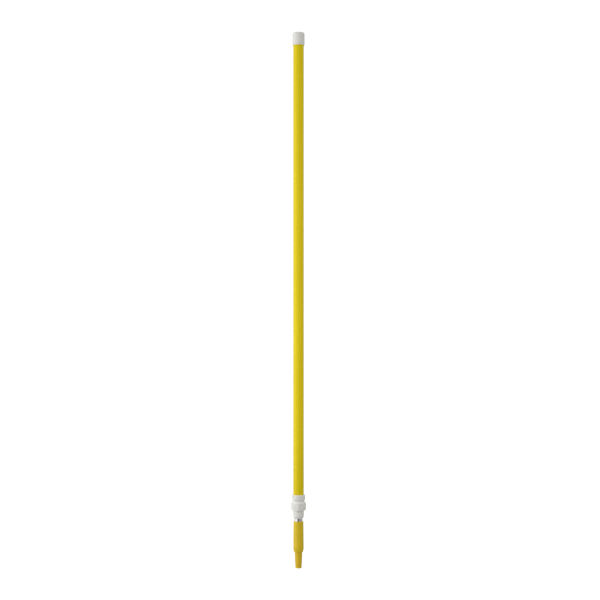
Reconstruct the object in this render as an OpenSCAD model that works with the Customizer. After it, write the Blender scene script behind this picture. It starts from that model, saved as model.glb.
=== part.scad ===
// Telescopic extension pole for a roller or other push-fit tool.
// It stands on its tool end: Z = 0 is the tip of the spigot, +Z runs along the pole to the cap,
// and -Y is the front, where the inner tube's groove and key are. Sizes are in millimetres.

/* [Pole] */
// Length over all with the pole pushed together
collapsed_length = 1575; // [1500:5:1650]
// How far the outer tube slides out
travel = 1205; // [900:5:1210]

/* [Outer tube] */
// Outer diameter of the coloured sheath
sheath_d = 31.2; // [31:0.1:31.6]
// Outer diameter of the aluminium outer tube
outer_tube_d = 30; // [29.8:0.1:30.2]
// Wall of the aluminium outer tube
outer_tube_wall = 1.2; // [1.1:0.05:1.3]

/* [Inner tube] */
// Outer diameter of the inner tube
inner_tube_d = 24; // [23.8:0.1:24.2]
// Wall of the inner tube
inner_tube_wall = 1.2; // [1:0.1:1.4]
// Width of the groove down the inner tube
groove_w = 3.2; // [2.8:0.1:3.6]
// Depth of that groove
groove_depth = 1.2; // [1:0.1:1.4]
// Length of bare inner tube that shows with the pole pushed together
bare_gap = 8.5; // [6:0.5:10]

/* [Tool connector] */
// Diameter of the spigot's straight land, which the tool's handle seats on
land_d = 21.8; // [21:0.1:22]
// Diameter of the spigot at its tip
tip_d = 17.8; // [17:0.1:18.5]
// Height of the shoulder that stops the tool
shoulder_z = 47; // [44:0.5:50]
// Largest diameter of the barrel
barrel_d = 30.4; // [30:0.1:31]
// Diameter of the barrel at its top
barrel_top_d = 29.1; // [28.8:0.1:29.4]
// Height of the top of the barrel
barrel_top_z = 137.5; // [134:0.5:140]

/* [Locking nut] */
// Size across opposite corners of the nut's grip
nut_across = 44.9; // [44:0.1:46]
// Number of flat faces on the grip
facets = 8; // [8:2:12]
// Diameter of the nut's nose
nose_d = 31.8; // [31:0.1:32]
// Height of the grip, without its cone
grip_h = 21; // [19:0.5:22]
// Advance of the nut in one turn
thread_lead = 4; // [3:0.5:5]
// Turn from loose to tight, in degrees
nut_turn_deg = 180; // [90:10:200]

/* [Collar and cap] */
// Diameter of the collar's ring
collar_d = 39.6; // [38.6:0.1:40.4]
// Height of the collar's ring
collar_ring_h = 15.8; // [14:0.2:18]
// Diameter of the cap at its open end
cap_d = 36.4; // [35.8:0.1:37]
// Length of the cap
cap_h = 38.2; // [36:0.2:42]

/* [Fits] */
// Gap on the radius between pieces that are pressed or glued together
tight_gap = 0.02; // [0.01:0.01:0.03]
// Gap on the radius between pieces that slide or turn
slide_gap = 0.06; // [0.05:0.01:0.08]

/* [Hidden] */
$fn = 96;

YELLOW = [0.93, 0.78, 0.08];
WHITE = [0.90, 0.90, 0.87];
ALUMINIUM = [0.80, 0.80, 0.82];
STEEL = [0.62, 0.63, 0.65];
ACETAL = [0.95, 0.94, 0.90];
RUBBER = [0.10, 0.10, 0.11];

eps = 0.01;
big = 60;

// radii
sheath_r = sheath_d / 2;
outer_r = outer_tube_d / 2;
outer_bore_r = outer_r - outer_tube_wall;
inner_r = inner_tube_d / 2;
inner_bore_r = inner_r - inner_tube_wall;
land_r = land_d / 2;
tip_r = tip_d / 2;
barrel_r = barrel_d / 2;
barrel_top_r = barrel_top_d / 2;
groove_floor_r = inner_r - groove_depth;
rib_inner_r = groove_floor_r - inner_tube_wall;
rib_w = groove_w + 2 * inner_tube_wall;
pin_r = 2;

// heights on the connector
land_z = 35;
mid_taper_z = 12.5;
mid_taper_r = 9.8;
tip_edge = 0.8;
shoulder_face_r = 12.7;
barrel_z = 56;
barrel_edge = 2.2;
socket_z = 93;
core_r = 8;
core_z = 60;
tip_core_r = 4.5;
tip_core_z = 40;
pin_zs = [106, 124];

// heights on the locking end
lip_z = barrel_top_z + bare_gap;
nose_z = lip_z + 5.4;
grip_z = lip_z + 24.2;
cone_z = grip_z + grip_h;
nut_top_z = lip_z + 50;
ring_z = lip_z + 53.8;
ring_top_z = ring_z + collar_ring_h;
nut_r = nut_across / 2;
nut_top_r = 18.4;
nose_r = nose_d / 2;
undercut_r = nose_r - 0.8;
advance = thread_lead * nut_turn_deg / 360;

// inside the locking end
thread_r = 17.1;
relief_r = 16.2;
neck_r = 17.4;
nut_floor_z = lip_z + 23.5;
housing_z = nut_floor_z + 5.5;
thread_top_z = lip_z + 44;
collet_r = outer_r - tight_gap;
collet_top_z = thread_top_z;
flange_h = 3.2;
flange_z = housing_z - 0.05 - flange_h;
finger_r = 13.2;
collet_bore_r = inner_r + slide_gap;
nut_cone_z = lip_z + 3;
nut_cone_r = 12.9;
nut_bore_r = 13.9;
nut_cone_h = 5;
snap_in_r = relief_r + 0.1;
snap_out_r = 18.2;
snap_h = 1.2;
snap_z = thread_top_z + 0.05;

// heights at the far end of the outer tube
cap_z = collapsed_length - cap_h;
tube_top_z = collapsed_length - 9;
tube_z = collet_top_z + 0.05;
sheath_z = ring_z - 1.8;
cap_plug_z = cap_z + 3.2;
cap_top_r = cap_d / 2 - 0.3;
cap_edge = 5.5;
cap_plug_wall = 3;
seal_z = cap_z + 12;
seal_groove_r = 12.05;
seal_r = 0.85;

// heights at the far end of the inner tube
stop_z = collet_top_z + travel + 0.3;
bumper_h = 4;
bush_z = stop_z + bumper_h + 0.05;
bush_h = 24;
bush_r = 13.2;
flange_r = 13.7;
guide_r = outer_bore_r - 0.08;
ring_groove_z = bush_z + 3;
guide_ring_h = 8;
inner_top_z = cap_plug_z - 10;
head_top_z = cap_plug_z - 0.3;
plug_len = 30;

// Points of an arc about (cx, cy) from angle a0 to a1
function arc(cx, cy, r, a0, a1, n = 6) = [
    for (i = [0 : n]) let (a = a0 + (a1 - a0) * i / n) [cx + r * cos(a), cy + r * sin(a)]
];

// A plain ring about Z
module tube(r_out, r_in, z0, z1) {
    translate([0, 0, z0])
        difference() {
            cylinder(r = r_out, h = z1 - z0);
            translate([0, 0, -1]) cylinder(r = r_in, h = z1 - z0 + 2);
        }
}

// A cylinder across the pole, along X
module cross_cylinder(r, len, z) {
    translate([-len / 2, 0, z]) rotate([0, 90, 0]) cylinder(r = r, h = len);
}

// A cylinder that points outwards from the axis, at angle a
module radial_cylinder(r, r0, r1, z, a) {
    rotate([0, 0, a]) translate([r0, 0, z]) rotate([0, 90, 0]) cylinder(r = r, h = r1 - r0);
}

// A block at the front, between two distances from the axis
module front_block(w, r0, r1, z0, z1) {
    translate([-w / 2, -r1, z0]) cube([w, r1 - r0, z1 - z0]);
}

// ---- the tool end and the inner tube ----

// Outline of the connector from tip to barrel top, with a slightly barrelled body
function connector_outline() = concat(
    [[0, 0]],
    arc(tip_r - tip_edge, tip_edge, tip_edge, -90, 0, 4),
    [[mid_taper_r, mid_taper_z], [land_r, land_z], [land_r, shoulder_z]],
    arc(shoulder_face_r - 0.8, shoulder_z + 0.8, 0.8, -90, -20, 4),
    arc(barrel_r - 19, barrel_z, 19, -24, 0, 6),
    [for (i = [1 : 6]) let (t = i / 6) [
        barrel_r - (barrel_r - barrel_top_r) * t * t,
        barrel_z + (barrel_top_z - barrel_edge - barrel_z) * t
    ]],
    arc(barrel_top_r - barrel_edge, barrel_top_z - barrel_edge, barrel_edge, 15, 90, 5),
    [[0, barrel_top_z]]
);

module tool_connector() {
    color(YELLOW) {
        difference() {
            rotate_extrude() polygon(connector_outline());
            translate([0, 0, socket_z - 0.05])
                cylinder(r = inner_r + tight_gap, h = barrel_top_z);
            translate([0, 0, core_z]) cylinder(r = core_r, h = socket_z - core_z);
            translate([0, 0, -1]) cylinder(r = tip_core_r, h = tip_core_z + 1);
            for (z = pin_zs) cross_cylinder(pin_r + tight_gap, big, z);
        }
        // rib that fills the tube's groove and takes the twist
        front_block(groove_w - 0.1, groove_floor_r + 0.05, inner_r + 0.5, socket_z, barrel_top_z - 4);
    }
}

module connector_pins() {
    color(STEEL) for (z = pin_zs) cross_cylinder(pin_r, 2 * (barrel_top_r - 0.4), z);
}

module core_plug() {
    color(ACETAL) difference() {
        translate([0, 0, socket_z + 1]) cylinder(r = inner_bore_r - 0.05, h = 40);
        front_block(rib_w + 0.1, rib_inner_r - 0.05, inner_r, socket_z, socket_z + 50);
        for (z = pin_zs) cross_cylinder(pin_r + tight_gap, big, z);
    }
}

module inner_tube_section() {
    difference() {
        circle(r = inner_r);
        difference() {
            circle(r = inner_bore_r);
            translate([-rib_w / 2, -inner_r]) square([rib_w, inner_r - rib_inner_r]);
        }
        translate([-groove_w / 2, -inner_r - 1]) square([groove_w, groove_depth + 1]);
    }
}

module inner_tube() {
    color(ALUMINIUM) difference() {
        translate([0, 0, socket_z])
            linear_extrude(height = inner_top_z - socket_z) inner_tube_section();
        for (z = concat(pin_zs, [stop_pin_z(), plug_pin_z()]))
            cross_cylinder(pin_r + tight_gap, big, z);
    }
}

// ---- stop and guides on the inner tube ----

function stop_pin_z() = bush_z + bush_h - 6;
function plug_pin_z() = inner_top_z - plug_len / 2;

module stop_bumper() {
    color(RUBBER) tube(flange_r - 0.1, inner_r + 0.1, stop_z, stop_z + bumper_h);
}

module stop_bush() {
    color(ACETAL) difference() {
        union() {
            tube(bush_r, inner_r + tight_gap, bush_z, bush_z + bush_h);
            tube(flange_r, inner_r + tight_gap, bush_z, ring_groove_z);
            tube(flange_r, inner_r + tight_gap, ring_groove_z + guide_ring_h + 0.1, bush_z + bush_h);
        }
        cross_cylinder(pin_r + tight_gap, big, stop_pin_z());
    }
}

module stop_pin() {
    color(STEEL) cross_cylinder(pin_r, 2 * (flange_r - 0.4), stop_pin_z());
}

// Split wear ring, with its gap at the back
module guide_ring(r_in, z) {
    color(RUBBER) difference() {
        tube(guide_r, r_in, z, z + guide_ring_h);
        translate([-1, 0, z - 1]) cube([2, big, guide_ring_h + 2]);
    }
}

module guide_ring_lower() {
    guide_ring(bush_r + tight_gap, ring_groove_z + 0.05);
}

module guide_plug() {
    head_z = inner_top_z + 0.05;
    color(ACETAL) difference() {
        union() {
            translate([0, 0, inner_top_z - plug_len])
                cylinder(r = inner_bore_r - 0.05, h = plug_len + 0.1);
            translate([0, 0, head_z]) cylinder(r = bush_r - 0.6, h = head_top_z - head_z);
            translate([0, 0, head_z]) cylinder(r = flange_r - 0.3, h = 0.8);
        }
        front_block(rib_w + 0.1, rib_inner_r - 0.05, inner_r, inner_top_z - plug_len - 1, inner_top_z);
        cross_cylinder(pin_r + tight_gap, big, plug_pin_z());
        translate([0, 0, inner_top_z + 3]) cylinder(r = 8, h = big);
    }
}

module guide_plug_pin() {
    color(STEEL) cross_cylinder(pin_r, 2 * (inner_r - 0.3), plug_pin_z());
}

module guide_ring_upper() {
    guide_ring(bush_r - 0.6 + tight_gap, inner_top_z + 0.9);
}

// ---- outer tube and cap ----

// Angles of the two screws that hold the collar, both at the back
screw_angles = [50, 130];
screw_z = ring_z + collar_ring_h / 2;
screw_r = 1.8;
screw_head_r = 3;

module screw_holes(extra) {
    for (a = screw_angles) {
        radial_cylinder(screw_r + extra, outer_bore_r - 1, big / 2, screw_z, a);
        radial_cylinder(screw_head_r + extra, collar_d / 2 - 1.6, big / 2, screw_z, a);
    }
}

module outer_tube() {
    color(ALUMINIUM) difference() {
        tube(outer_r, outer_bore_r, tube_z, tube_top_z);
        screw_holes(tight_gap);
    }
}

module colour_sheath() {
    color(YELLOW) difference() {
        tube(sheath_r, outer_r + tight_gap, sheath_z, tube_top_z);
        screw_holes(tight_gap);
    }
}

function cap_outline() = concat(
    [[0, cap_z]],
    arc(cap_d / 2 - 0.8, cap_z + 0.8, 0.8, -90, 0, 4),
    arc(cap_top_r - cap_edge, collapsed_length - cap_edge, cap_edge, 0, 90, 8),
    [[0, collapsed_length]]
);

module end_cap() {
    slot_r = sheath_r + tight_gap;
    plug_r = outer_bore_r - 0.05;
    color(WHITE) difference() {
        rotate_extrude() polygon(cap_outline());
        tube(slot_r, plug_r, cap_z - 1, tube_top_z + 0.1);
        translate([0, 0, cap_z - 1]) cylinder(r = slot_r, h = cap_plug_z - cap_z + 1);
        translate([0, 0, cap_z - 1])
            cylinder(r = plug_r - cap_plug_wall, h = collapsed_length - cap_z - 6);
        tube(slot_r, seal_groove_r, seal_z - 1.1, seal_z + 1.1);
    }
}

module cap_seal() {
    color(RUBBER) translate([0, 0, seal_z]) rotate_extrude()
        translate([seal_groove_r + tight_gap + seal_r, 0]) circle(r = seal_r);
}

// ---- collar, collet and nut ----

function collar_outline() = [
    [0, housing_z], [thread_r, housing_z],
    [thread_r, thread_top_z], [relief_r, thread_top_z],
    [relief_r, nut_top_z - 0.1], [neck_r, nut_top_z - 0.1],
    [neck_r, ring_z], [collar_d / 2 - 1.2, ring_z],
    [collar_d / 2, ring_z + 1.6], [collar_d / 2, ring_top_z - 0.8],
    [collar_d / 2 - 0.8, ring_top_z], [0, ring_top_z]
];

tongue_w = 4;
tongue_h = 3;

module collar_body() {
    color(WHITE) {
        difference() {
            rotate_extrude() polygon(collar_outline());
            translate([0, 0, housing_z - 1]) cylinder(r = outer_r + tight_gap, h = big);
            translate([0, 0, sheath_z - 0.05]) cylinder(r = sheath_r + tight_gap, h = big);
            for (side = [-1, 1]) translate([side * 16, 0, housing_z + tongue_h / 2 - 0.5])
                cube([3, tongue_w, tongue_h + 1], center = true);
            screw_holes(tight_gap);
        }
        // rib that keeps the retaining ring from turning
        translate([-1.9, relief_r - 0.5, thread_top_z]) cube([3.8, 1, nut_top_z - thread_top_z - 0.1]);
    }
}

// Two short countersunk screws, which end flush inside the outer tube
module collar_screws() {
    for (a = screw_angles) color(STEEL) difference() {
        union() {
            radial_cylinder(screw_r, outer_bore_r + 0.1, collar_d / 2 - 1, screw_z, a);
            radial_cylinder(screw_head_r, collar_d / 2 - 1.55, collar_d / 2 - 0.35, screw_z, a);
        }
        rotate([0, 0, a]) translate([collar_d / 2, 0, screw_z]) {
            cube([2, 3.6, 0.8], center = true);
            cube([2, 0.8, 3.6], center = true);
        }
    }
}

function collet_outline() = [
    [0, collet_tip_z()], [nut_cone_r - 0.03, collet_tip_z()],
    [nut_bore_r - 0.03, collet_tip_z() + nut_cone_h], [nut_bore_r - 0.03, collet_tip_z() + nut_cone_h + 2],
    [finger_r, collet_tip_z() + nut_cone_h + 3], [finger_r, flange_z],
    [thread_r - 0.1, flange_z], [thread_r - 0.1, flange_z + flange_h],
    [collet_r, flange_z + flange_h], [collet_r, collet_top_z], [0, collet_top_z]
];

// The finger tips stand clear of the nut's cone by the whole advance of the nut
function collet_tip_z() = nut_cone_z + advance;

key_z = housing_z + 2;
key_h = 9;
key_w = groove_w - 0.2;
slit_w = 2.5;
slits = 4;

module collet() {
    color(ACETAL) {
        difference() {
            rotate_extrude() polygon(collet_outline());
            translate([0, 0, collet_tip_z() - 1]) cylinder(r = collet_bore_r, h = big);
            for (i = [0 : slits - 1]) rotate([0, 0, 360 / slits * (i + 0.5)])
                translate([0, -slit_w / 2, collet_tip_z() - 1])
                    cube([big, slit_w, flange_z - collet_tip_z() - 1]);
            front_block(key_w + 0.04, inner_r - 1, big, key_z - 0.02, key_z + key_h + 0.02);
        }
        // tongues that keep the collet from turning in the collar
        for (side = [-1, 1]) translate([side * 16, 0, flange_z + flange_h + tongue_h / 2 - 0.3])
            cube([1.6, tongue_w - 0.1, tongue_h + 0.4], center = true);
    }
}

module groove_key() {
    color(ACETAL) front_block(key_w, groove_floor_r + 0.12, collet_r - 0.1, key_z, key_z + key_h);
}

module retaining_ring() {
    color(STEEL) difference() {
        tube(snap_out_r, snap_in_r, snap_z, snap_z + snap_h);
        translate([-2.4, 0, snap_z - 1]) cube([4.8, big, snap_h + 2]);
    }
}

function nut_outline() = concat(
    [[0, lip_z], [nut_cone_r - 0.55, lip_z], [nut_cone_r - 0.15, lip_z + 0.4]],
    [[nose_r, nose_z], [nose_r, grip_z - 3.4]],
    [[undercut_r, grip_z - 2.7], [undercut_r, grip_z - 1.2], [nut_r - 2.9, grip_z - 0.3]],
    [[nut_r - 1.5, grip_z], [nut_r - 0.8, grip_z + 1.4], [nut_r, grip_z + 8]],
    [[nut_r, cone_z - 1.8], [nut_r - 0.6, cone_z - 0.2], [nut_r - 1.5, cone_z + 1]],
    [[nut_top_r, nut_top_z], [0, nut_top_z]]
);

function nut_inside() = [
    [0, lip_z - 1], [inner_r + 0.3, lip_z - 1], [inner_r + 0.3, nut_cone_z - 0.8],
    [nut_cone_r, nut_cone_z], [nut_bore_r, nut_cone_z + nut_cone_h],
    [nut_bore_r, nut_floor_z], [thread_r + slide_gap, nut_floor_z],
    [thread_r + slide_gap, snap_z - 0.05], [snap_out_r + 0.1, snap_z - 0.05],
    [snap_out_r + 0.1, snap_z + snap_h + 0.05], [neck_r + 0.1, snap_z + snap_h + 0.05],
    [neck_r + 0.1, nut_top_z + 1], [0, nut_top_z + 1]
];

// Everything outside the grip's flat faces, which meet at corners, one of them at the front
module outside_facets() {
    translate([0, 0, grip_z - 1]) linear_extrude(height = nut_top_z - grip_z + 2) difference() {
        circle(r = big);
        rotate([0, 0, 90]) circle(r = nut_r, $fn = facets);
    }
}

module lock_nut() {
    color(WHITE) difference() {
        rotate_extrude() polygon(nut_outline());
        rotate_extrude() polygon(nut_inside());
        outside_facets();
    }
}

tool_connector();
connector_pins();
core_plug();
inner_tube();
stop_bumper();
stop_bush();
stop_pin();
guide_ring_lower();
guide_plug();
guide_plug_pin();
guide_ring_upper();
outer_tube();
colour_sheath();
end_cap();
cap_seal();
collar_body();
collar_screws();
collet();
groove_key();
retaining_ring();
lock_nut();
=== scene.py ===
"""Looks of the telescopic extension pole: detailed surfaces, materials, light and camera."""

import math

import bmesh
import bpy
from mathutils import Matrix, Vector


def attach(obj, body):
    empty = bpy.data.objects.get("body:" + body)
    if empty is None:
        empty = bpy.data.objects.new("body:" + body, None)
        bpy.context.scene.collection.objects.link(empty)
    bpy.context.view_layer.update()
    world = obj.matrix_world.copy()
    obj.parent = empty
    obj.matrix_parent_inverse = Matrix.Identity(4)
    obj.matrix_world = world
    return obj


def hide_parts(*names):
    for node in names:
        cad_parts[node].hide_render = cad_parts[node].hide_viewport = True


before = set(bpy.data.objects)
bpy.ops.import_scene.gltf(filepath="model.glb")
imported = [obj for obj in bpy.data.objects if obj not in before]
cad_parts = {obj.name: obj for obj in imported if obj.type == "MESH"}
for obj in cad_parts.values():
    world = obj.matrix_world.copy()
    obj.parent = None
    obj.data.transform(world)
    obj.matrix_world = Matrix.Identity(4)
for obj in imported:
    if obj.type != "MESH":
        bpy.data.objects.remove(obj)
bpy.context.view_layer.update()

MM = 0.001
FRONT_DEG = 270  # the front is -Y

# cross pins and screws, all in mm, with the turn of each screw round the pole in degrees
PIN_R = 2.0
PIN_BORE_R = 2.02
CONNECTOR_PIN_HEIGHTS = (106, 124)
STOP_PIN_HEIGHT = 1417.35
PLUG_PIN_HEIGHT = 1515
SCREW_TURNS = (50, 130)
SCREW_HEIGHT = 207.7
SCREW_BORE_R = 1.82
SCREW_HEAD_BORE_R = 3.02


# ---------------------------------------------------------------- outlines

def rounded(corners, closed=False, step_deg=11.0):
    """Points (r, z) of an outline whose corners (r, z, fillet) are rounded, all in mm.

    A fillet takes at most just under half of the shorter side next to it.
    """
    n = len(corners)
    out = []
    for i, corner in enumerate(corners):
        r, z, fillet = (*corner, 0.0)[:3]
        if fillet <= 0 or (not closed and i in (0, n - 1)):
            out.append((r, z))
            continue
        p = Vector((r, z))
        a = Vector(corners[i - 1][:2]) - p
        b = Vector(corners[(i + 1) % n][:2]) - p
        room = 0.48 * min(a.length, b.length)
        a.normalize()
        b.normalize()
        half = a.angle(b) / 2
        reach = min(fillet / math.tan(half), room)
        centre = p + (a + b).normalized() * (reach / math.cos(half))
        start, end = p + a * reach - centre, p + b * reach - centre
        turn = start.angle_signed(end)
        steps = max(2, math.ceil(abs(math.degrees(turn)) / step_deg))
        for k in range(steps + 1):
            ang = -turn * k / steps
            c, s = math.cos(ang), math.sin(ang)
            out.append((centre.x + c * start.x - s * start.y, centre.y + s * start.x + c * start.y))
    return out


def even_angles(count):
    return [2 * math.pi * i / count for i in range(count)]


def on_circle(r, angle):
    return Vector((r * math.cos(angle), r * math.sin(angle)))


def angles_with_detail(centres_deg, reach_deg, fine_deg, coarse_deg):
    """Angles round the pole in radians, closely spaced within reach of each centre."""
    out = set()
    spots = sorted(c % 360 for c in centres_deg)
    for i, c in enumerate(spots):
        following = spots[(i + 1) % len(spots)] + (360 if i == len(spots) - 1 else 0)
        count = round(2 * reach_deg / fine_deg)
        out.update(round((c - reach_deg + fine_deg * k) % 360, 4) for k in range(count + 1))
        gap = following - c - 2 * reach_deg
        parts = max(1, round(gap / coarse_deg))
        out.update(round((c + reach_deg + gap * k / parts) % 360, 4) for k in range(1, parts))
    return [math.radians(a) for a in sorted(out)]


# ---------------------------------------------------------------- meshes

def lathe(outline, closed=False, angles=None, shape=None):
    """A bmesh turned from an outline (r, z) in mm. shape(r, z, angle) may change the radius."""
    angles = angles or even_angles(128)
    bm = bmesh.new()
    rings = []
    for r, z in outline:
        if r < 1e-6:  # a point on the axis
            rings.append([bm.verts.new((0, 0, z * MM))])
            continue
        ring = []
        for a in angles:
            rr = shape(r, z, a) if shape else r
            ring.append(bm.verts.new((rr * math.cos(a) * MM, rr * math.sin(a) * MM, z * MM)))
        rings.append(ring)
    follows = rings[1:] + ([rings[0]] if closed else [])
    n = len(angles)
    for low, high in zip(rings, follows):
        for i in range(n):
            j = (i + 1) % n
            if len(low) == 1:
                bm.faces.new((low[0], high[i], high[j]))
            elif len(high) == 1:
                bm.faces.new((low[i], low[j], high[0]))
            else:
                bm.faces.new((low[i], low[j], high[j], high[i]))
    bmesh.ops.recalc_face_normals(bm, faces=bm.faces)
    return bm


def block(size, centre):
    """A bmesh box in mm."""
    bm = bmesh.new()
    bmesh.ops.create_cube(bm, size=1.0)
    bmesh.ops.scale(bm, vec=Vector(size) * MM, verts=bm.verts)
    bmesh.ops.translate(bm, vec=Vector(centre) * MM, verts=bm.verts)
    return bm


def outwards(z, turn_deg):
    """Lays the Z axis along the line that leaves the pole's axis at height z mm and at an angle."""
    return (Matrix.Translation((0, 0, z * MM)) @ Matrix.Rotation(math.radians(turn_deg), 4, "Z")
            @ Matrix.Rotation(math.radians(90), 4, "Y"))


def rod(r, start, end, z, turn_deg=0, chamfer=0.0):
    """A bmesh rod that points outwards from the pole's axis at an angle, from start to end in mm."""
    if chamfer:
        outline = [(0, start), (r - chamfer, start), (r, start + chamfer),
                   (r, end - chamfer), (r - chamfer, end), (0, end)]
    else:
        outline = [(0, start), (r, start), (r, end), (0, end)]
    bm = lathe(outline, angles=even_angles(48))
    bm.transform(outwards(z, turn_deg))
    return bm


def to_object(bm, name):
    mesh = bpy.data.meshes.new(name)
    bm.to_mesh(mesh)
    bm.free()
    obj = bpy.data.objects.new(name, mesh)
    bpy.context.scene.collection.objects.link(obj)
    return obj


def cut(obj, tools, operation="DIFFERENCE"):
    """Cuts the tool meshes out of obj, or joins them to it, and keeps the result as plain mesh."""
    helpers = [to_object(bm, "helper") for bm in tools]
    for helper in helpers:
        mod = obj.modifiers.new("cut", "BOOLEAN")
        mod.operation, mod.object, mod.solver = operation, helper, "EXACT"
    apply_modifiers(obj)
    for helper in helpers:
        bpy.data.meshes.remove(helper.data)


def apply_modifiers(obj):
    bpy.context.view_layer.update()
    evaluated = obj.evaluated_get(bpy.context.evaluated_depsgraph_get())
    mesh = bpy.data.meshes.new_from_object(evaluated)
    obj.modifiers.clear()
    old, obj.data = obj.data, mesh
    bpy.data.meshes.remove(old)


def join(objects):
    """Adds the meshes of the other objects to the first one, which is given back."""
    first, *others = objects
    bm = bmesh.new()
    for obj in objects:
        bm.from_mesh(obj.data)
    for obj in others:
        bpy.data.meshes.remove(obj.data)
    bm.to_mesh(first.data)
    bm.free()
    return first


def bevel(obj, width_mm, angle_deg=50):
    """Rounds every edge sharper than the angle."""
    mod = obj.modifiers.new("soft edges", "BEVEL")
    mod.width, mod.segments = width_mm * MM, 2
    mod.limit_method, mod.angle_limit = "ANGLE", math.radians(angle_deg)


def soften(obj, width_mm, angle_deg=50):
    """Rounds every edge sharper than the angle, and keeps the result as plain mesh."""
    bevel(obj, width_mm, angle_deg)
    apply_modifiers(obj)


def piece(obj, name, mat, body, nodes):
    """Names the finished piece, shades it, ties it to its body, and hides the CAD nodes it stands for."""
    obj.name = obj.data.name = name
    obj.data.materials.clear()
    obj.data.materials.append(mat)
    obj.data.shade_smooth()
    obj.data.set_sharp_from_angle(angle=math.radians(32))
    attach(obj, body)
    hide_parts(*nodes)


# ---------------------------------------------------------------- materials

class Shader:
    """A small wrapper round one node tree, to keep each material's recipe short."""

    # a Mix node has a pair of inputs for each kind of data, and these are the colour sockets' places
    MIX_A, MIX_B, MIX_RESULT = 6, 7, 2

    def __init__(self, name):
        self.mat = bpy.data.materials.new(name)
        self.mat.use_nodes = True
        self.tree = self.mat.node_tree
        self.bsdf = self.tree.nodes["Principled BSDF"]
        self.coords = self.tree.nodes.new("ShaderNodeTexCoord").outputs["Object"]

    def put(self, socket, value):
        target = self.bsdf.inputs[socket] if isinstance(socket, str) else socket
        if isinstance(value, bpy.types.NodeSocket):
            self.tree.links.new(value, target)
        elif isinstance(value, (tuple, list)) and len(value) == 3 and target.type == "RGBA":
            target.default_value = (*value, 1.0)
        else:
            target.default_value = value

    def noise(self, scale, stretch=(1, 1, 1), detail=3.0, rough=0.5, distortion=0.0):
        mapping = self.tree.nodes.new("ShaderNodeMapping")
        mapping.inputs["Scale"].default_value = stretch
        self.put(mapping.inputs["Vector"], self.coords)
        node = self.tree.nodes.new("ShaderNodeTexNoise")
        self.put(node.inputs["Vector"], mapping.outputs["Vector"])
        for key, value in (("Scale", scale), ("Detail", detail), ("Roughness", rough),
                           ("Distortion", distortion)):
            node.inputs[key].default_value = value
        return node.outputs["Fac"]

    def levels(self, value, low, high, to_low=0.0, to_high=1.0, smooth=True):
        node = self.tree.nodes.new("ShaderNodeMapRange")
        node.interpolation_type = "SMOOTHSTEP" if smooth else "LINEAR"
        self.put(node.inputs["Value"], value)
        for key, number in (("From Min", low), ("From Max", high),
                            ("To Min", to_low), ("To Max", to_high)):
            node.inputs[key].default_value = number
        return node.outputs["Result"]

    def mix(self, factor, a, b):
        node = self.tree.nodes.new("ShaderNodeMix")
        node.data_type = "RGBA"
        self.put(node.inputs["Factor"], factor)
        self.put(node.inputs[self.MIX_A], a)
        self.put(node.inputs[self.MIX_B], b)
        return node.outputs[self.MIX_RESULT]

    def math(self, kind, a, b):
        node = self.tree.nodes.new("ShaderNodeMath")
        node.operation = kind
        self.put(node.inputs[0], a)
        self.put(node.inputs[1], b)
        return node.outputs["Value"]

    def height(self):
        """Z in metres, as the piece lies at rest."""
        node = self.tree.nodes.new("ShaderNodeSeparateXYZ")
        self.put(node.inputs["Vector"], self.coords)
        return node.outputs["Z"]

    def from_axis(self):
        """Distance from the pole's axis in metres."""
        node = self.tree.nodes.new("ShaderNodeVectorMath")
        node.operation = "MULTIPLY"
        node.inputs[1].default_value = (1, 1, 0)
        self.put(node.inputs[0], self.coords)
        length = self.tree.nodes.new("ShaderNodeVectorMath")
        length.operation = "LENGTH"
        self.put(length.inputs[0], node.outputs["Vector"])
        return length.outputs["Value"]

    def pointiness(self):
        """Above 0.5 on convex edges, below it in creases."""
        return self.tree.nodes.new("ShaderNodeNewGeometry").outputs["Pointiness"]

    def bumps(self, *layers):
        """Each layer is (height, depth in mm)."""
        normal = None
        for value, depth in layers:
            node = self.tree.nodes.new("ShaderNodeBump")
            node.inputs["Strength"].default_value = 1.0
            node.inputs["Distance"].default_value = depth * MM
            self.put(node.inputs["Height"], value)
            if normal is not None:
                self.put(node.inputs["Normal"], normal)
            normal = node.outputs["Normal"]
        self.put("Normal", normal)


def moulded_plastic(name, base, shade, rough, darkening=0.25, shade_below=None):
    """Injection-moulded plastic: soft clouding, fine grain, a little grime, painted shade in creases and
    paler edges.

    Below a given height in metres, painted shade makes it a little darker and redder.
    """
    s = Shader(name)
    clouds = s.levels(s.noise(38, detail=4, distortion=0.4), 0.35, 0.68)
    grain = s.noise(2600, detail=2)
    flow = s.noise(60, stretch=(1, 1, 0.25), detail=3)
    colour = s.mix(s.math("MULTIPLY", clouds, 0.6), base, shade)
    dirt_and_crease_shade = s.levels(s.noise(160, detail=5, rough=0.65), 0.58, 0.78, 0.0, darkening)
    # painted shade: creases, found by pointiness, are darkened as if shade fell in them
    crease_shade = s.levels(s.pointiness(), 0.40, 0.485, 0.6, 0.0)
    dirt_and_crease_shade = s.math("MAXIMUM", dirt_and_crease_shade, crease_shade)
    colour = s.mix(dirt_and_crease_shade, colour, tuple(c * 0.72 for c in shade))
    if shade_below:
        # painted shade: below the given height the colour turns darker and redder
        lower_darkening = s.levels(s.height(), shade_below, shade_below + 0.006, 0.8, 0.0)
        colour = s.mix(lower_darkening, colour, (base[0] * 0.97, base[1] * 0.89, base[2]))
    pale = tuple(min(1.0, c * 1.06 + 0.01) for c in base)
    colour = s.mix(s.math("MULTIPLY", s.levels(s.pointiness(), 0.52, 0.60), 0.5), colour, pale)
    s.put("Base Color", colour)
    s.put("Roughness", s.levels(s.math("ADD", clouds, grain), 0.5, 1.6, rough - 0.05, rough + 0.08))
    s.put("IOR", 1.49)
    s.bumps((flow, 0.08), (grain, 0.020))
    return s.mat


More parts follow.
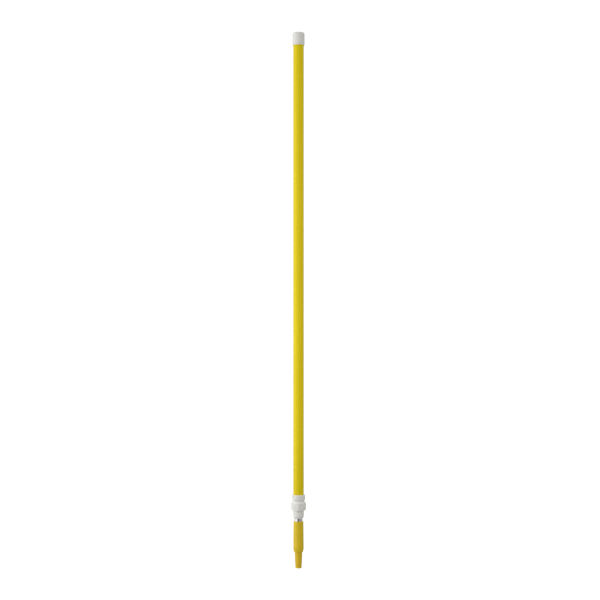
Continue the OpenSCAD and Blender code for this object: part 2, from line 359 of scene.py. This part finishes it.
def sleeve_film():
    """Coloured plastic sleeve drawn over the outer tube: satin, scuffed and dusty, with faint lines along
    its length, and a little darker towards its lower end."""
    s = Shader("sleeve_film")
    lines = s.noise(1.0, stretch=(1500, 1500, 5), detail=3)
    waves = s.noise(1.0, stretch=(120, 120, 9), detail=3, distortion=0.3)
    clouds = s.levels(s.noise(1.0, stretch=(30, 30, 4), detail=3), 0.35, 0.7)
    colour = s.mix(s.math("MULTIPLY", clouds, 0.7), (0.895, 0.705, 0.005), (0.845, 0.655, 0.004))
    scuffs = s.noise(1.0, stretch=(700, 700, 42), detail=5, rough=0.7, distortion=1.2)
    scuffs = s.levels(scuffs, 0.66, 0.74)
    colour = s.mix(s.math("MULTIPLY", scuffs, 0.30), colour, (0.93, 0.80, 0.14))
    dust = s.levels(s.noise(900, detail=2), 0.70, 0.80, 0.0, 0.35)
    colour = s.mix(dust, colour, (0.48, 0.37, 0.02))
    # darker towards its lower end
    lower_darkening = s.levels(s.height(), 0.20, 0.46, 0.55, 0.0)
    colour = s.mix(lower_darkening, colour, (0.74, 0.575, 0.005))
    s.put("Base Color", colour)
    rough = s.math("ADD", lines, s.math("MULTIPLY", scuffs, 1.2))
    s.put("Roughness", s.levels(rough, 0.3, 1.6, 0.40, 0.60, smooth=False))
    s.put("Specular IOR Level", 0.20)
    s.bumps((waves, 0.05), (lines, 0.007))
    return s.mat


def drawn_metal(name, base, dark, rough, along=(1600, 1600, 7), scratch=0.5, groove_mm=0):
    """Bare drawn metal: fine lines, dull patches, a few scratches, and painted shade in the groove.

    The painted shade darkens what is nearer the pole's axis than groove_mm.
    """
    s = Shader(name)
    lines = s.noise(1.0, stretch=along, detail=4)
    dull = s.levels(s.noise(1.0, stretch=(90, 90, 12), detail=4, distortion=0.5), 0.35, 0.7)
    marks = s.levels(s.noise(1.0, stretch=(420, 420, 30), detail=5, rough=0.7, distortion=1.5), 0.64, 0.70)
    colour = s.mix(dull, base, dark)
    colour = s.mix(s.math("MULTIPLY", marks, scratch), colour, tuple(c * 0.7 for c in dark))
    if groove_mm:
        # painted shade: the groove's floor, nearer the axis than groove_mm, is coloured dark
        darkening = s.levels(s.from_axis(), (groove_mm - 0.5) * MM, groove_mm * MM, 0.85, 0.0)
        colour = s.mix(darkening, colour, (0.16, 0.16, 0.165))
    s.put("Base Color", colour)
    s.put("Metallic", 1.0)
    worn = s.math("ADD", lines, dull)
    s.put("Roughness", s.levels(worn, 0.4, 1.7, rough - 0.08, rough + 0.14, smooth=False))
    s.put("Anisotropic", 0.35)
    s.bumps((lines, 0.009), (marks, 0.010))
    return s.mat


def soft_dark(name, base, rough):
    """Rubber and filled wear strip: dark, matt and slightly mottled."""
    s = Shader(name)
    mottle = s.noise(420, detail=4)
    grain = s.noise(3000, detail=2)
    s.put("Base Color", s.mix(s.levels(mottle, 0.4, 0.7), base, tuple(c * 1.7 + 0.01 for c in base)))
    s.put("Roughness", s.levels(grain, 0.3, 0.7, rough - 0.06, rough + 0.06))
    s.bumps((grain, 0.015))
    return s.mat


white_plastic = moulded_plastic("white_moulding", (0.870, 0.865, 0.828), (0.835, 0.828, 0.788), 0.50)
# the yellow moulding has painted shade below its shoulder, under 46 mm
yellow_plastic = moulded_plastic("yellow_moulding", (0.80, 0.570, 0.005), (0.745, 0.520, 0.004), 0.48,
                                 shade_below=0.046)
acetal = moulded_plastic("natural_acetal", (0.80, 0.79, 0.74), (0.76, 0.74, 0.68), 0.34, darkening=0.1)
sleeve = sleeve_film()
aluminium = drawn_metal("drawn_aluminium", (0.80, 0.80, 0.82), (0.68, 0.68, 0.70), 0.28, groove_mm=11.8)
steel = drawn_metal("plated_steel", (0.66, 0.66, 0.67), (0.54, 0.54, 0.55), 0.26,
                    along=(900, 900, 900), scratch=0.3)
rubber = soft_dark("rubber", (0.022, 0.022, 0.024), 0.62)
wear_strip = soft_dark("wear_strip", (0.045, 0.047, 0.050), 0.45)


# ---------------------------------------------------------------- tool connector

def connector():
    line_deg, line_height = 0.55, 0.05
    angles = angles_with_detail((0, 180), 1.5, 0.25, 3.0)

    def parting(r, z, a):
        """A hairline ridge on the two sides, where the halves of the mould met."""
        inside = r < 8.2 or (r < 12.2 and z > 90)
        at_an_end = not 1.5 < z < 136
        if inside or at_an_end:
            return r
        off = math.degrees(math.asin(math.sin(a)))
        return r + line_height * math.exp(-((off / line_deg) ** 2))

    barrel = [(15.2 - 0.65 * (t / 8) ** 2, 56 + 79 * t / 8) for t in range(1, 8)]
    outline = rounded([
        (0, 40), (4.5, 40, 0.4), (4.5, 0, 0.6), (8.9, 0, 0.9), (9.8, 12.5, 60), (10.9, 35, 60),
        (10.9, 47, 0.35), (12.9, 47, 0.9), (13.95, 49.1, 3.0), (15.2, 56, 9.0), *barrel,
        (14.55, 137.5, 2.2), (12.02, 137.5, 0.35), (12.02, 92.95), (8, 92.95), (8, 60), (0, 60),
    ], step_deg=9)
    obj = to_object(lathe(outline, angles=angles, shape=parting), "connector")
    cut(obj, [rod(PIN_BORE_R, -20, 20, z) for z in CONNECTOR_PIN_HEIGHTS])
    groove_rib = block((3.1, 1.6, 40.5), (0, -11.65, 113.3))
    cut(obj, [groove_rib], "UNION")
    soften(obj, 0.14)
    piece(obj, "connector_moulding", yellow_plastic, "inner_pole", ["tool_connector"])

    pins = [to_object(rod(PIN_R, -14.15, 14.15, z, chamfer=0.35), "pin") for z in CONNECTOR_PIN_HEIGHTS]
    piece(join(pins), "connector_pin_pair", steel, "inner_pole", ["connector_pins"])


# ---------------------------------------------------------------- tubes

def grooved_tube():
    """The inner tube: round, with one rolled groove at the front and its rib inside."""
    r_out, r_in, groove_width, groove_floor_r, rib_r = 12.0, 10.8, 3.2, 10.8, 9.6
    heights = [92.95, 137.5, 146, *range(200, 1501, 100), 1530]
    edge_deg = 20  # how far the profile with the groove reaches on each side of the front
    front = math.radians(FRONT_DEG)

    lip = math.asin(groove_width / 2 / r_out)
    side = [(-groove_width / 2, -r_out * math.cos(lip), 0.35), (-groove_width / 2, -groove_floor_r, 0.3),
            (groove_width / 2, -groove_floor_r, 0.3), (groove_width / 2, -r_out * math.cos(lip), 0.35)]
    before = (r_out * math.sin(math.radians(-10)), -r_out * math.cos(math.radians(10)))
    groove = rounded([before, *side, (-before[0], before[1])], step_deg=15)
    outer = [on_circle(r_out, front - math.radians(d)) for d in range(edge_deg, 8, -2)]
    outer += [Vector(p) for p in groove[1:-1]]
    outer += [on_circle(r_out, front + math.radians(d)) for d in range(10, edge_deg + 1, 2)]

    rib_half = groove_width / 2 + 1.2
    rib_lip = math.asin(rib_half / r_in)
    inner = [Vector(p) for p in rounded([
        (r_in * math.sin(math.radians(-edge_deg)), -r_in * math.cos(math.radians(edge_deg))),
        (-rib_half, -r_in * math.cos(rib_lip), 0.3), (-rib_half, -rib_r, 0.5),
        (rib_half, -rib_r, 0.5), (rib_half, -r_in * math.cos(rib_lip), 0.3),
        (r_in * math.sin(math.radians(edge_deg)), -r_in * math.cos(math.radians(edge_deg))),
    ], step_deg=15)]

    # the round part, from edge_deg right of the groove back to edge_deg left of it
    count = 96
    sweep = math.radians(360 - 2 * edge_deg)
    first = front + math.radians(edge_deg)
    back = [first + sweep * k / count for k in range(1, count)]
    bm = bmesh.new()

    def ring(points, r_back, z):
        places = [(p.x, p.y) for p in points]
        places += [(r_back * math.cos(a), r_back * math.sin(a)) for a in back]
        return [bm.verts.new((x * MM, y * MM, z * MM)) for x, y in places]

    outer_rings = [ring(outer, r_out, z) for z in heights]
    inner_rings = [ring(inner, r_in, z) for z in heights]
    for rings in (outer_rings, inner_rings):
        for low, high in zip(rings, rings[1:]):
            n = len(low)
            for i in range(n):
                bm.faces.new((low[i], low[(i + 1) % n], high[(i + 1) % n], high[i]))
    no, ni = len(outer), len(inner)
    for out, ins in ((outer_rings[0], inner_rings[0]), (outer_rings[-1], inner_rings[-1])):
        for k in range(count - 2):  # the round part of the end face, face by face
            bm.faces.new((out[no + k], out[no + k + 1], ins[ni + k + 1], ins[ni + k]))
        bm.faces.new((*reversed(out[:no]), out[-1], ins[-1], *ins[:ni], ins[ni], out[no]))
    bmesh.ops.recalc_face_normals(bm, faces=bm.faces)
    obj = to_object(bm, "inner_tube")
    cut(obj, [rod(PIN_BORE_R, -20, 20, z)
              for z in (*CONNECTOR_PIN_HEIGHTS, STOP_PIN_HEIGHT, PLUG_PIN_HEIGHT)])
    soften(obj, 0.15, angle_deg=60)
    piece(obj, "inner_tube_extrusion", aluminium, "inner_pole", ["inner_tube"])


def plain_tube(r_out, r_in, z0, z1, lip):
    """A long round tube with its rims rounded, and rings that keep the screw holes' faces short."""
    levels = [z for z in (216.5, 400, 600, 800, 1000, 1200, 1400) if z0 < z < z1]
    outline = rounded([
        (r_in, z0, lip), (r_out, z0, lip), *((r_out, z) for z in levels),
        (r_out, z1, lip), (r_in, z1, lip), *((r_in, z) for z in reversed(levels)),
    ], closed=True)
    obj = to_object(lathe(outline, closed=True), "tube")
    cut(obj, [rod(SCREW_BORE_R, 8, 30, SCREW_HEIGHT, a) for a in SCREW_TURNS])
    return obj


def tubes():
    grooved_tube()
    piece(plain_tube(15.0, 13.8, 190.05, 1566, 0.25), "outer_tube_extrusion", aluminium,
          "outer_pole", ["outer_tube"])
    piece(plain_tube(15.6, 15.02, 198, 1566, 0.15), "sleeve_over_outer_tube", sleeve,
          "outer_pole", ["colour_sheath"])


# ---------------------------------------------------------------- cap

def cap():
    outline = rounded([
        (0, 1568), (10.75, 1568, 0.6), (10.75, 1540, 0.3), (13.75, 1540, 0.5),
        (13.75, 1547.7, 0.1), (12.05, 1547.7, 0.2), (12.05, 1549.9, 0.2), (13.75, 1549.9, 0.1),
        (13.75, 1566.1, 0.3), (15.62, 1566.1, 0.3), (15.62, 1536.8, 0.3), (18.2, 1536.8, 0.9),
        (18.15, 1541, 60), (17.9, 1575, 5.5), (0, 1575),
    ], step_deg=8)
    obj = to_object(lathe(outline), "cap")
    piece(obj, "end_cap_moulding", white_plastic, "outer_pole", ["end_cap"])


# ---------------------------------------------------------------- collar and its screws

def collar():
    outline = rounded([
        (15.02, 175, 0.3), (17.1, 175, 0.5), (17.1, 190, 0.2), (16.2, 190, 0.2), (16.2, 195.9, 0.2),
        (17.4, 195.9, 0.3), (17.4, 198.5, 0.5), (18.55, 199.8, 0.5), (19.8, 201.45, 1.2),
        (19.8, 215.0, 0.8), (19.2, 215.6, 0.6), (15.62, 215.6, 0.35), (15.62, 197.95, 0.1),
        (15.02, 197.95, 0.1),
    ], closed=True, step_deg=9)
    obj = to_object(lathe(outline, closed=True), "collar")
    screw_bores = [rod(SCREW_BORE_R, 12, 30, SCREW_HEIGHT, a) for a in SCREW_TURNS]
    head_bores = [rod(SCREW_HEAD_BORE_R, 18.2, 30, SCREW_HEIGHT, a) for a in SCREW_TURNS]
    collet_notches = [block((3, 4, 4), (x, 0, 176)) for x in (-16, 16)]
    cut(obj, screw_bores + head_bores + collet_notches)
    ring_stop = block((3.8, 1.0, 5.7), (0, 16.2, 192.9))
    cut(obj, [ring_stop], "UNION")
    soften(obj, 0.18)
    piece(obj, "collar_moulding", white_plastic, "outer_pole", ["collar_body"])

    heads = []
    for turn in SCREW_TURNS:
        head = to_object(lathe(rounded([
            (0, 13.9), (1.55, 13.9, 0.2), (1.8, 14.3, 0.3), (1.8, 18.25, 0.2), (3.0, 18.25, 0.2),
            (3.0, 19.05, 0.35), (2.5, 19.45, 0.4), (0, 19.5),
        ]), angles=even_angles(48)), "head")
        cross_slot = [block((3.4, 0.75, 2.4), (0, 0, 20.05)), block((0.75, 3.4, 2.4), (0, 0, 20.05))]
        cut(head, cross_slot)
        soften(head, 0.06)
        slot_turn = Matrix.Rotation(math.radians(turn * 0.4), 4, "Z")
        head.data.transform(outwards(SCREW_HEIGHT, turn) @ slot_turn)
        heads.append(head)
    piece(join(heads), "collar_screw_pair", steel, "outer_pole", ["collar_screws"])


# ---------------------------------------------------------------- locking nut

def blend_min(a, b, k):
    """The smaller of two lengths, rounded where they cross."""
    h = max(k - abs(a - b), 0.0) / k
    return min(a, b) - h * h * k / 4


def nut():
    facets, corner_r, bore_r = 8, 22.45, 18.31
    crown, groove_depth, groove_deg, edge_round = 0.42, 0.50, 1.7, 0.3
    pitch = 360 / facets
    angles = angles_with_detail([pitch * i for i in range(facets)], 4, 0.25, 1.5)
    reach = math.radians(pitch / 2)
    apothem = corner_r * math.cos(reach)

    def faceted(r, z, a):
        """Slightly crowned faces with a fine groove at each corner, one of them at the front."""
        if r < bore_r:
            return r
        off = math.radians((math.degrees(a) % pitch) - pitch / 2)
        face = apothem / math.cos(off) + crown * math.cos(off / reach * math.pi / 2)
        groove = groove_depth * math.exp(-((abs(off) - reach) / math.radians(groove_deg)) ** 2)
        return blend_min(r, face - groove, edge_round)

    outline = rounded([
        (12.3, 146, 0.15), (12.7, 146, 0.3), (15.9, 151.4, 1.8), (15.9, 166.8, 0.4),
        (15.1, 167.5, 0.3), (15.1, 169.0, 0.4), (19.5, 169.9, 0.4), (20.95, 170.2, 0.6),
        (21.65, 171.6, 1.2), (22.45, 178.2, 9.0), (22.45, 184), (22.45, 189.4, 1.0),
        (21.85, 191.0, 0.8), (20.95, 192.2, 0.8), (19.6, 194.1), (18.0, 196, 0.3),
        (17.5, 196, 0.2), (17.5, 191.3), (18.3, 191.3), (18.3, 190), (17.16, 190),
        (17.16, 169.5), (13.9, 169.5), (13.9, 154), (12.9, 149), (12.3, 148.2),
    ], closed=True, step_deg=9)
    obj = to_object(lathe(outline, closed=True, angles=angles, shape=faceted), "nut")
    piece(obj, "lock_nut_moulding", white_plastic, "locking_nut", ["lock_nut"])


# ---------------------------------------------------------------- inner pieces carried over from the CAD

def carried_over():
    """Gives the pieces inside their materials and softened edges. The seal is all curves already."""
    finishes = {
        "core_plug": acetal, "stop_bush": acetal, "guide_plug": acetal, "collet": acetal,
        "groove_key": acetal, "stop_bumper": rubber, "cap_seal": rubber,
        "guide_ring_lower": wear_strip, "guide_ring_upper": wear_strip,
        "stop_pin": steel, "guide_plug_pin": steel, "retaining_ring": steel,
    }
    for name, mat in finishes.items():
        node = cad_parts[name]
        node.data.materials.clear()
        node.data.materials.append(mat)
        node.data.set_sharp_from_angle(angle=math.radians(30))
        if name != "cap_seal":
            bevel(node, 0.12)


# ---------------------------------------------------------------- stage, light and camera

COOL = (1.0, 1.0, 1.09)
WARM = (1.0, 1.0, 0.955)


def stage():
    """A pale floor that curves up far away into a pale wall. It lights nothing itself."""
    floor_z, flat_r, bend_r = -0.02, 12000, 6000
    outline = [(r, floor_z) for r in (0, 1000, 3000, 6000, 9000, flat_r)]
    for bend in range(6, 91, 6):
        a = math.radians(bend)
        outline.append((flat_r + bend_r * math.sin(a), bend_r * (1 - math.cos(a)) + floor_z))
    outline += [(flat_r + bend_r, 16000), (12000, 26000), (0, 28000)]
    floor = to_object(lathe(outline, angles=even_angles(96)), "studio_floor")
    floor.data.shade_smooth()
    s = Shader("studio_floor")
    radius = s.tree.nodes.new("ShaderNodeVectorMath")
    radius.operation = "LENGTH"
    s.put(radius.inputs[0], s.coords)
    glow = s.levels(radius.outputs["Value"], 0.3, 4.0, 0.86, 0.98)
    s.put("Base Color", (0.30, 0.30, 0.30))
    s.put("Roughness", 1.0)
    s.put("Specular IOR Level", 0.0)
    s.put("Emission Color", (1.0, 1.0, 0.995))
    s.put("Emission Strength", glow)
    floor.data.materials.append(s.mat)
    for kind in ("diffuse", "glossy", "transmission", "shadow"):
        setattr(floor, f"visible_{kind}", False)

    world = bpy.data.worlds.new("studio")
    world.use_nodes = True
    bpy.context.scene.world = world
    tree = world.node_tree
    background = tree.nodes["Background"]
    background.inputs["Color"].default_value = (*WARM, 1.0)
    direction = tree.nodes.new("ShaderNodeSeparateXYZ")
    tree.links.new(tree.nodes.new("ShaderNodeTexCoord").outputs["Generated"], direction.inputs["Vector"])

    def step(kind, *values):
        node = tree.nodes.new("ShaderNodeMath")
        node.operation = kind
        for socket, value in zip(node.inputs, values):
            if isinstance(value, bpy.types.NodeSocket):
                tree.links.new(value, socket)
            else:
                socket.default_value = value
        return node.outputs["Value"]

    # brighter above and below than at the horizon, above most of all, and a little brighter on the left
    horizon, from_above_or_below, from_above, from_right = 0.40, 0.29, 0.17, -0.10
    height = direction.outputs["Z"]
    strength = step("MULTIPLY_ADD", step("ABSOLUTE", height), from_above_or_below, horizon)
    strength = step("MULTIPLY_ADD", height, from_above, strength)
    strength = step("MULTIPLY_ADD", direction.outputs["X"], from_right, strength)
    tree.links.new(strength, background.inputs["Strength"])


def softbox(name, place, target, width, height, power, colour=WARM):
    """A rectangular light at a place in metres, turned to the target. The camera doesn't see it."""
    light = bpy.data.lights.new(name, "AREA")
    light.color = colour
    light.shape, light.size, light.size_y, light.energy = "RECTANGLE", width, height, power
    obj = bpy.data.objects.new(name, light)
    bpy.context.scene.collection.objects.link(obj)
    obj.location = place
    obj.rotation_euler = (Vector(target) - Vector(place)).to_track_quat("-Z", "Y").to_euler()
    obj.visible_camera = False


def lights_and_camera():
    softbox("key", (-1.60, -0.43, 0.80), (0, 0, 0.80), 1.9, 2.2, 16.2, colour=COOL)
    softbox("fill", (0.62, -0.95, 0.90), (0, 0, 0.90), 0.6, 0.6, 1.25)
    softbox("side", (1.55, 0.60, 0.80), (0, 0, 0.80), 1.2, 2.2, 2.4)
    softbox("back", (0, 1.70, 0.80), (0, 0, 0.80), 1.2, 2.2, 7)
    cam = bpy.data.cameras.new("camera")
    cam.lens, cam.sensor_width = 81.6, 36.0
    cam.clip_start, cam.clip_end = 0.05, 200.0
    obj = bpy.data.objects.new("camera", cam)
    bpy.context.scene.collection.objects.link(obj)
    obj.location = (0.0044, -4.0, 0.7879)
    obj.rotation_euler = (math.radians(90), 0, 0)
    bpy.context.scene.camera = obj
    bpy.context.scene.view_settings.view_transform = "Standard"


connector()
tubes()
cap()
collar()
nut()
carried_over()
stage()
lights_and_camera()
